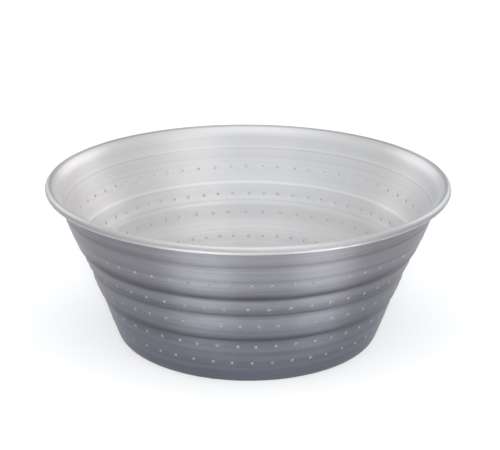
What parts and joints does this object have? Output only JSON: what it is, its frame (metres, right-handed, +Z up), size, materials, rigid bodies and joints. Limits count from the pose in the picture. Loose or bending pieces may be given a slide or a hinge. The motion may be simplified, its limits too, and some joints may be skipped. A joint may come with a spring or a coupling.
{
  "type": "cheese mold",
  "caption": "Flared round metal bowl with stepped rings, rows of small drain holes and a rolled rim, for draining and shaping cheese curd.",
  "frame": {"origin": "middle of the flat underside, on the surface that the bowl stands on", "axes": "+Z up along the bowl's axis, out of its open mouth; -Y is the side nearest the viewer in the reference view"},
  "size_m": [0.3, 0.3, 0.12],
  "materials": {
    "spun_aluminium": "satin",
    "rim_wire_steel": "satin"
  },
  "bodies": {
    "root": {"mould_shell": "spun_aluminium", "rim_wire": "rim_wire_steel"}
  },
  "joints": []
}
